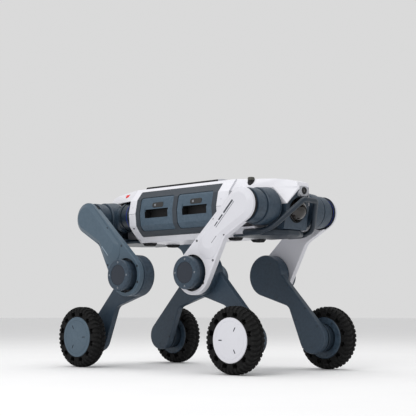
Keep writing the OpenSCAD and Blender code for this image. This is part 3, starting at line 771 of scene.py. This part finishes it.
def nose_trim():
    """Lower lip, the ledges beside it and the light tongue round the camera."""
    trim = []
    for s in (-1, 1):
        edge = [(s * 99, Z0 - 52.2), (s * 97, Z0 - 58.2), (s * 84, Z0 - 58.2), (s * 84, Z0 - 55), (s * 95, Z0 - 52.2)]
        trim.append(Shape().prism(edge, 244, 287, 1.2, 1.2, axis="x").object("ledge", ["white"]))
    half = [(94, Z0 - 50.5), (98, Z0 - 51), (84, Z0 - 69.9)]
    inner = [(-81, Z0 - 66.7), (81, Z0 - 66.7)]
    lip = Shape().prism(half + [(-y, z) for y, z in half[::-1]] + inner, SHELL_FRONT + 0.4, 246, axis="x")
    trim.append(finish_edges(lip.object("lip", ["white"]), 0.8, 25))
    outline = rect(-20, 20, Z0 + 31, Z0 + 59, 11, 8)
    tongue = Shape().prism(outline, 366, 382.6, 0, 1.4, axis="x").object("tongue", ["grey"])
    carve(tongue, Shape().lathe(rod(370, 390, 10.2), (0, CAMERA_Z), "x", 48), ["black"])
    trim.append(finish_edges(tongue, 0.6, 30))
    return trim


def build_sensors(front):
    """Sensor housing and the domed scanner in it."""
    end, tag = ((1, 1), "front") if front else ((-1, 1), "rear")
    side = [(302, Z0 - 59.6), (350, Z0 - 59.6), (361, Z0 + 8.2), (302, Z0 + 8.2)]
    block = Shape().prism(side, -50, 50).object("block", ["slate"])
    upper = hull(corners_of(303, 360, 46.8, Z0 + 7, Z0 + 9.5) + corners_of(303, 304, 46.8, Z0 + 40, Z0 + 52) +
                       corners_of(370, 379.5, 19.5, Z0 + 48, Z0 + 52))
    carve(block, upper, ["slate"], how="UNION")
    carve(block, Shape().lathe(rod(348.5, 400, 35.5), (0, LIDAR_Z), "x"), ["black"])
    if front:
        carve(block, Shape().prism(rect(-20.6, 20.6, Z0 + 30.4, Z0 + 59.6, 11.4, 8), 365, 400, axis="x"), ["black"])
    finish_edges(block, 1.6, 25, 3)
    place(turned(block, end, f"{tag}_sensor_block"), "torso", "slate_plastic", f"{tag}_sensor_housing")

    bulge = [(355 + 29 * sin(a), 29 * cos(a)) for a in [pi / 2 * i / 16 for i in range(1, 16)]]
    dome = Shape().lathe([(349, 0), (349, 31), (353, 31), (354, 30), (355, 29)] + bulge + [(384, 0)], (0, LIDAR_Z), "x")
    dome.lathe([(348.8, 31.4), (355.4, 31.4), (356.2, 32.0), (356.2, 32.8), (348.8, 32.8)], (0, LIDAR_Z), "x", mat=1,
               loop=True)
    obj = turned(finish_edges(dome.object("dome", ["dome", "black"])), end, f"{tag}_scanner")
    place(obj, "torso", "dark_dome", f"{tag}_lidar")


def build_camera():
    barrel = [(371, 0), (371, 9.3), (383.8, 9.3), (384.6, 8.6), (385.6, 8.2), (385.6, 6.6), (383.6, 5.2), (383.4, 0)]
    cam = Shape().lathe(barrel, (0, CAMERA_Z), "x", 64)
    cam.lathe([(383.2, 0), (383.4, 5.0), (384.3, 3.4), (384.7, 1.6), (384.8, 0)], (0, CAMERA_Z), "x", 48, mat=1)
    obj = finish_edges(cam.object("front_camera", ["black", "lens"]))
    place(obj, "torso", "black_plastic", "camera")


def round_path(points, radii, steps=8):
    """Rounds the inner corners of an open path in space."""
    out = [Vector(points[0])]
    for i in range(1, len(points) - 1):
        a, p, b = Vector(points[i - 1]), Vector(points[i]), Vector(points[i + 1])
        u, v = (p - a).normalized(), (b - p).normalized()
        turn = u.angle(v)
        r = radii[i - 1]
        reach = r * tan(turn / 2)
        n = (v - u * u.dot(v)).normalized()
        c = p - u * reach + n * r
        for k in range(steps + 1):
            t = turn * k / steps
            out.append(c - n * r * cos(t) + u * r * sin(t))
    out.append(Vector(points[-1]))
    return [tuple(p) for p in out]


def build_guards():
    half = [(401.5, 27, 18), (336, RAIL_Y, -66), (255, RAIL_Y, -66)]
    path = [(x, -y, z) for x, y, z in reversed(half)] + half
    path = [(x, y, z + Z0) for x, y, z in path]
    for tag, end in (("front", (1, 1)), ("rear", (-1, 1))):
        bar = Shape().tube(round_path(path, [60, 14, 14, 60]), GUARD_R, 28)
        obj = turned(finish_edges(bar.object("guard", ["slate_dark"]), 0, 40), end, f"{tag}_guard_bar")
        place(obj, "torso", "guard_paint", f"{tag}_guard")


def build_knobs_and_motors():
    knobs = Shape()
    stem = [(58, 0), (58, 8.4), (74, 8.4), (78.2, 9.6), (78.6, 9.2), (79.2, 9.2), (79.2, 0)]
    head = [(79.2, 0), (79.2, 9.2), (79.6, 9.7), (85.6, 9.7), (87.6, 8.8), (88.3, 7), (88.3, 0)]
    for y in (-KNOB_Y, KNOB_Y):
        for mat, profile in enumerate((stem, head)):
            knobs.lathe([(Z0 + z, r) for z, r in profile], (KNOB_X, y), "z", 64, mat)
    # knob heads in the olive grey: in part a painted highlight
    obj = finish_edges(knobs.object("shoulder_knob_pair", ["black", "olive"]))
    place(obj, "torso", "black_plastic", "shoulder_knobs")
    motors = Shape()
    body = [(190.3, 0), (190.3, 42), (192, 43.6), (206, 43.6), (206.6, 42.4), (208, 42.4), (208.6, 43.2),
            (234.6, 43.2), (235.6, 40.8), (238.8, 40.8), (239.8, 43.9), (248.2, 43.9), (249.6, 42.4), (249.6, 0)]
    # a thin blue ring on each roll motor: a painted blue glint
    ring = [(211, 43), (211, 43.7), (212.6, 43.7), (212.6, 43)]
    for s in (-1, 1):
        for y in (-ROLL_Y, ROLL_Y):
            motors.lathe([(s * x, r) for x, r in body], (y, MOTOR_Z), "x")
            motors.lathe([(s * x, r) for x, r in ring], (y, MOTOR_Z), "x", mat=2, loop=True)
            motors.lathe(rod(s * 249, s * 277, 14), (y, Z0), "x", 48, mat=1)
    obj = finish_edges(motors.object("roll_motor_set", ["slate_dark", "steel", "blue_glint_ring"]), 0, 25)
    place(obj, "torso", "actuator_metal", "roll_actuators")


def build_body_screws():
    all_screws = Shape()
    for s in (-1, 1):
        for x in range(-150, 151, 60):
            one = screw(Shape(), (0, 0), 0.0, 2.5, "z", head=2, socket=2)
            turn = Matrix.Rotation(radians(-135 * s), 4, "X")
            n = Vector((0, s * 0.7071, -0.7071))
            one.move(Matrix.Translation(Vector((x, s * 82.6, Z0 - 64.9)) + n * 0.3) @ turn)
            all_screws.add(one.verts, one.faces, 2)
        for x in (-180, 180):
            for z, kind in ((-33, 0), (28, 2)):
                screw(all_screws, (x, Z0 + z), s * (skin_at(0, z) + 0.4), 2.7, out=s, head=kind, socket=max(kind, 1))
    obj = finish_edges(all_screws.object("body_screw_set", ["steel", "black", "white_shaded"]))
    place(obj, "torso", "bare_metal", "body_screws")


# ---- legs, drawn at the front left corner
def along_link(a, b, along, off):
    """The point at a distance along the line from a to b, and off it."""
    d = (Vector(b) - Vector(a)).normalized()
    return (a[0] + along * d.x - off * d.y, a[1] + along * d.y + off * d.x)


def on_thigh(along, off):
    return along_link(HIP, KNEE, along, off)


def on_shank(along, off):
    return along_link(KNEE, AXLE, along, off)


def build_hips():
    s = Shape()
    s.lathe([(70, 0), (70, 46), (71.2, 49.6), (73.2, 50.6), (76, 50.6), (76.6, 49.2), (77.6, 49.2), (78.6, 51),
             (118, 51), (121.4, 49.6), (123, 47), (123, 44.6), (128.8, 44.6), (128.8, 45.8), (130, 47), (158.5, 47),
             (161.5, 46), (162.4, 44), (162.4, 0)], HIP, seg=128)
    # crown over the roll coupling: rings that rise towards the middle of the robot
    crown = [(75.4, 46.0, 3.0), (76.6, 49.6, 3.4), (78.2, 50.7, 3.6), (84, 50.7, 3.4), (112, 50.4, 0.6), (113, 48, 0.0)]
    s.rings([[(x, y, z) for x, z in arc((HIP_X, HIP_Z + lift), r, 0, -2 * pi, 64)[:64]] for y, r, lift in crown])
    # the recessed hub ring next to the thigh is black: painted shade for the gap between hip and thigh
    s.lathe([(162, 0), (162, 41.5), (170, 41.5), (171, 40.2), (177.7, 40.2), (177.7, 0)], HIP, seg=96, mat=1)
    # a thin blue ring in the dark gap next to the thigh: a painted blue glint
    s.lathe([(176.2, 40.0), (176.2, 41.0), (177.0, 41.0), (177.0, 40.0)], HIP, seg=128, mat=2, loop=True)
    s.lathe([(250.6, 0), (250.6, 39.6), (252, 41), (266, 41), (276, 36), (276, 0)], (ROLL_Y, Z0), "x")
    for at in around(HIP, 37, 6, 30):
        screw(s, at, 70.4, 2.4, out=-1, head=3, socket=1)
    obj = finish_edges(s.object("hip", ["slate", "black", "blue_glint_ring", "steel"]), 0, 28)
    at_corners(obj, "hip_housing", "hip", ["slate_plastic"], ["hip"])


def build_thighs():
    straight = -1  # the side of the link that has no bend
    base = link_outline(HIP, THIGH_TOP_R, KNEE, KNEE_R, THIGH_BEND, straight, 40)
    foot = link_outline(HIP, 43.6, on_thigh(155, -8), 37, on_thigh(99, 14.5), straight, 30)
    rise = link_outline(HIP, 42.6, on_thigh(155, -8), 36.2, on_thigh(99, 13.5), straight, 30)
    flat = link_outline(HIP, 31, on_thigh(140, -12), 22, on_thigh(98, 2.5), straight, 22)
    levels = [(y, inset(base, d)) for y, d in ((168.4, 1.4), (169.6, 0), (184.6, 0), (186.2, 0.9), (187, 2.6))]
    levels += [(187.3, foot), (188.4, rise), (195.0, inset(flat, -2.4)), (195.9, flat)]
    s = Shape().rings([[(x, y, z) for x, z in ring] for y, ring in levels])
    # the thigh in the darker white: painted shade on its side faces
    obj = s.object("thigh", ["white_shaded"])
    # the bore walls take graphite and dark slate: painted shade in the gaps round the hip and the knee motor
    carve(obj, Shape().lathe(rod(160, 178, 49), HIP, seg=96))
    carve(obj, Shape().lathe(rod(175, 210, 50.5), KNEE, seg=96), ["slate_dark"])
    finish_edges(obj, 0.7, 24)
    at_corners(obj, "thigh_plate", "thigh", ("white_shell", "blue_grey_shell"), ["thigh"], REAR_LOOK)
    s = Shape()
    for along, off in THIGH_SCREWS:
        screw(s, on_thigh(along, off), 189.2 if along < 150 else 188.0, 2.5)
    obj = finish_edges(s.object("thigh_screw", ["dark_steel", "black"]))
    at_corners(obj, "thigh_screws", "thigh", ["bare_metal"])


def build_knees():
    s = Shape()
    s.lathe([(128, 0), (128, 15.9), (170, 15.9), (170, 43), (174, 43), (201.5, 43), (203, 42), (203, 0)], KNEE,
            seg=128, mat=1)
    s.lathe([(203, 0), (203, 44), (204.4, 45.8), (213.6, 45.8), (216.4, 44.2), (217.5, 41.6), (217.5, 30.6),
             (216.7, 30), (215.8, 30), (215.8, 0)], KNEE, seg=128)
    s.lathe([(215.4, 0), (215.4, 29.2), (216.5, 29.2), (216.8, 28.6), (216.8, 0)], KNEE, seg=96, mat=2)
    for at in around(KNEE, 37, 4):
        screw(s, at, 217.9, 2.8, head=3, socket=4)
    obj = finish_edges(s.object("knee", ["slate", "slate_dark", "slate_insert", "steel", "black"]), 0, 28)
    at_corners(obj, "knee_drive", "thigh", ["actuator_metal"], ["knee_motor"])


def shank_outline():
    """Bent plate from the knee to the axle, with its straight edge on the upper side."""
    upper = AXLE_R + 1
    start, end = on_shank(sqrt(KNEE_R ** 2 - upper ** 2), upper), on_shank(LINK, AXLE_R)
    at_axle, at_knee = touch(SHANK_BEND, AXLE, AXLE_R, 1), touch(SHANK_BEND, KNEE, KNEE_R, -1)
    corner = fillet([at_axle, SHANK_BEND, at_knee], [0, 24, 0], 8)[1:-1]
    return swing(AXLE, AXLE_R, end, at_axle, on_shank(LINK + 60, 0), 32) + corner + \
        swing(KNEE, KNEE_R, at_knee, start, on_shank(-60, 0), 40)


def build_shanks():
    arm = Shape().prism(shank_outline(), 124.2, 145, 4.5, 2.2).object("arm", ["slate"])
    rim = [(124, 0), (124, 56), (125.4, 59.4), (128, 61), (162.5, 61), (165, 59.6), (166, 57), (166, 0)]
    body = join([arm, Shape().lathe(rim, KNEE, seg=128).object("disc", ["slate"])], "shank")
    finish_edges(body, 0, 24)
    at_corners(body, "shank_link", "shank", ["slate_plastic"], ["shank"])
    s = Shape()
    for along, off in SHANK_SCREWS:
        screw(s, on_shank(along, off), 123.8, 2.5, out=-1)
    obj = finish_edges(s.object("shank_screw", ["dark_steel", "black"]))
    at_corners(obj, "shank_screws", "shank", ["bare_metal"])
    s = Shape()
    s.lathe([(144, 0), (144, 38), (152, 38), (152, 42), (153, 43), (157, 43), (158, 42), (158, 41), (170.6, 41),
             (171, 40), (171, 37.8), (203.6, 37.8), (203.6, 11.9), (214, 11.9), (214, 0)], AXLE, seg=128)
    obj = finish_edges(s.object("stator", ["slate_dark", "black"]), 0, 28)
    at_corners(obj, "hub_stator", "shank", ["actuator_metal"], ["stator"])


# ---- wheels
def build_wheels():
    lo, hi = TYRE_Y - TYRE_W / 2, TYRE_Y + TYRE_W / 2
    rim = Shape().lathe([(lo + 0.9, 40.2), (lo + 0.9, 57), (lo + 3, 59.6), (hi - 5.4, 59.6), (hi - 5.4, 50),
                         (hi - 8, 48), (hi - 8, 40.2)], AXLE, seg=128, loop=True)
    for at in around(AXLE, 51.5, 8, 10):
        screw(rim, at, lo + 0.5, 2.4, out=-1, head=1, socket=2)
    obj = finish_edges(rim.object("rim", ["slate", "dark_steel", "black"]), 0, 28)
    at_corners(obj, "wheel_rim", "wheel", ["actuator_metal"], ["rim"])

    # the front caps in the darker white: painted shade
    cap = Shape().lathe([(hi - 4.8, 0), (hi - 4.8, 58.6), (hi - 3.8, 59.6), (hi - 1.6, 59.6), (hi - 0.5, 58.6),
                         (hi - 0.3, 57.4), (hi - 0.3, 50.4), (hi - 0.9, 49.6), (hi - 0.9, 48.9), (hi - 0.3, 48.1),
                         (hi - 0.3, 0)], AXLE, seg=128).object("cap", ["white_shaded"])
    slots = Shape()
    for k in range(3):
        slots.prism(radial(AXLE, 33, radians(180 + 120 * k), rect(-6, 6, -1.5, 1.5, 1.4, 4)), hi - 1.6, hi + 1)
    carve(cap, slots)
    finish_edges(cap, 0, 26)
    at_corners(cap, "wheel_cap", "wheel", ("white_shell", "blue_grey_shell"), ["cap"], REAR_LOOK)


def tread(wall, r_top):
    """Half of the tyre section as (y from the middle, radius, normal in y, normal in radius)."""
    flat = wall - SHOULDER_R
    pts = [(0.0, r_top, 0.0, 1.0), (flat, r_top, 0.0, 1.0)]
    for i in range(1, 7):
        s, c = sin(radians(15 * i)), cos(radians(15 * i))
        pts.append((flat + SHOULDER_R * s, r_top - SHOULDER_R * (1 - c), s, c))
    return pts


def build_tyre():
    w = TYRE_W / 2
    wall, r_top, r_in = w - 1.2, WHEEL_R - TREAD_DEPTH, 60.4
    path = tread(wall, r_top)
    outer = [(y, r) for y, r, _, _ in path[:0:-1]] + [(-y, r) for y, r, _, _ in path]
    profile = [(TYRE_Y + y, r) for y, r in [(wall, r_in)] + outer + [(-wall, r_in)]]
    body = Shape().lathe(profile, AXLE, seg=144, loop=True).object("tyre", ["rubber"])
    holes = Shape()
    for k in range(TYRE_HOLES):
        angle = 2 * pi * (k + 0.5) / TYRE_HOLES
        hole = radial(AXLE, WHEEL_R - 21, angle, rect(-6.6, 6.6, -7.8, 7.8, 3.4, 4))
        holes.prism(hole, TYRE_Y - TYRE_W, TYRE_Y + TYRE_W)
    carve(body, holes, ["rubber"])
    finish_edges(body, 0.7, 30)
    # lugs: blocks that run from near the middle over the shoulder, half a step apart on the two sides
    lugs = Shape()
    track = [(1.8, r_top, 0, 1), (5.5, r_top, 0, 1)] + path[1:] + [(wall, 73.3, 1, 0)]
    last = len(track) - 1
    for side in (-1, 1):
        for k in range(LUGS):
            mid = 2 * pi * (k + (0.5 if side > 0 else 0.0)) / LUGS
            rings = []
            for j, (y, r, ny, nr) in enumerate(track):
                skew = 0.085 * (1 - min(1.0, y / (w - 8)))
                wide = radians(2.7) * (1.0 if j < last else 0.8)
                high = 2.5 if 0 < j < last else 1.6
                if ny > 0.95:
                    high = min(high, 1.1)
                ring = []
                for da, h in ((-wide, -0.6), (-wide * 0.82, high), (wide * 0.82, high), (wide, -0.6)):
                    a = mid + skew + da
                    rr, yy = r + nr * h, y + ny * h
                    ring.append((AXLE[0] + rr * cos(a), TYRE_Y + side * yy, AXLE[1] + rr * sin(a)))
                rings.append(ring)
            lugs.rings(rings)
    lug = lugs.object("lug", ["rubber"])
    finish_edges(lug, 0, 26)
    tyre = join([body, lug], "tyre")
    at_corners(tyre, "tyre", "wheel", ["tyre_rubber"], ["tyre"])


# ---- plain marks
def build_marks():
    """Plain stripes where the photographed robot carries lettering."""
    front = [(4, 50, -21, 2.6), (56, 76, -21, 2.2), (81, 97, -21, 1.6), (4, 97, -14.5, 0.7), (112, 138, 2.5, 0.6)]
    rear = [(120, 160, 6, 0.9)]
    for bars, ink, corners in ((front, "mark", ("fr", "fl")), (rear, "mark_light", ("rr", "rl"))):
        s = Shape()
        for a0, a1, off, half in bars:
            s.prism([on_thigh(*spot) for spot in rect(a0, a1, off - half, off + half)], 195.7, 196.05)
        obj = finish_edges(s.object("stripe", [ink]))
        for c in corners:
            place(mirrored(obj, CORNERS[c], f"thigh_stripes_{c}"), f"thigh_{c}", "black_plastic")
        bpy.data.objects.remove(obj)


for build in (build_torso, build_packs, build_deck, build_underside):
    build()
for front_end in (True, False):
    build_canopy(front_end)
    build_sensors(front_end)
for build in (build_camera, build_guards, build_knobs_and_motors, build_body_screws, build_hips, build_thighs,
              build_knees, build_shanks, build_wheels, build_tyre, build_marks):
    build()

# the inner pieces are shown as the CAD has them
for inner, key in (("chassis_frame", "black"), ("control_unit", "steel")):
    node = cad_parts[inner]
    node.data.materials.clear()
    node.data.materials.append(MAT[key])


# ---- floor and light
def build_stage():
    g = Graph("floor_paper")
    tone = g.spread(g.noise(3.0, 3.0), "Fac", 0.3, 0.7)
    white = g.mix(tone, "Result", (0.88, 0.88, 0.885), (0.90, 0.90, 0.905))
    g.link(white, 2, g.bsdf, "Base Color")
    g.bsdf.inputs["Roughness"].default_value = 0.9
    mesh = bpy.data.meshes.new("floor")
    mesh.from_pydata([(-30, -30, 0), (30, -30, 0), (30, 30, 0), (-30, 30, 0)], [], [(0, 1, 2, 3)])
    mesh.materials.append(g.mat)
    floor = put("floor", mesh)
    world = bpy.data.worlds.new("studio")
    bpy.context.scene.world = world
    world.use_nodes = True
    world.node_tree.nodes["Background"].inputs[0].default_value = (1.0, 1.0, 1.0, 1.0)
    world.node_tree.nodes["Background"].inputs[1].default_value = 0.7
    bpy.context.scene.view_settings.view_transform = "Standard"
    for name, power, size, spot in (("key", 34.0, 1.6, (0.9, -2.9, 2.3)), ("top", 34.0, 2.4, (-0.4, 0.3, 3.2))):
        lamp = bpy.data.lights.new(name, "AREA")
        lamp.energy, lamp.size = power, size
        obj = put(name, lamp)
        obj.location = spot
        obj.rotation_euler = (Vector((0, 0, 0.3)) - Vector(spot)).to_track_quat("-Z", "Y").to_euler()


build_stage()
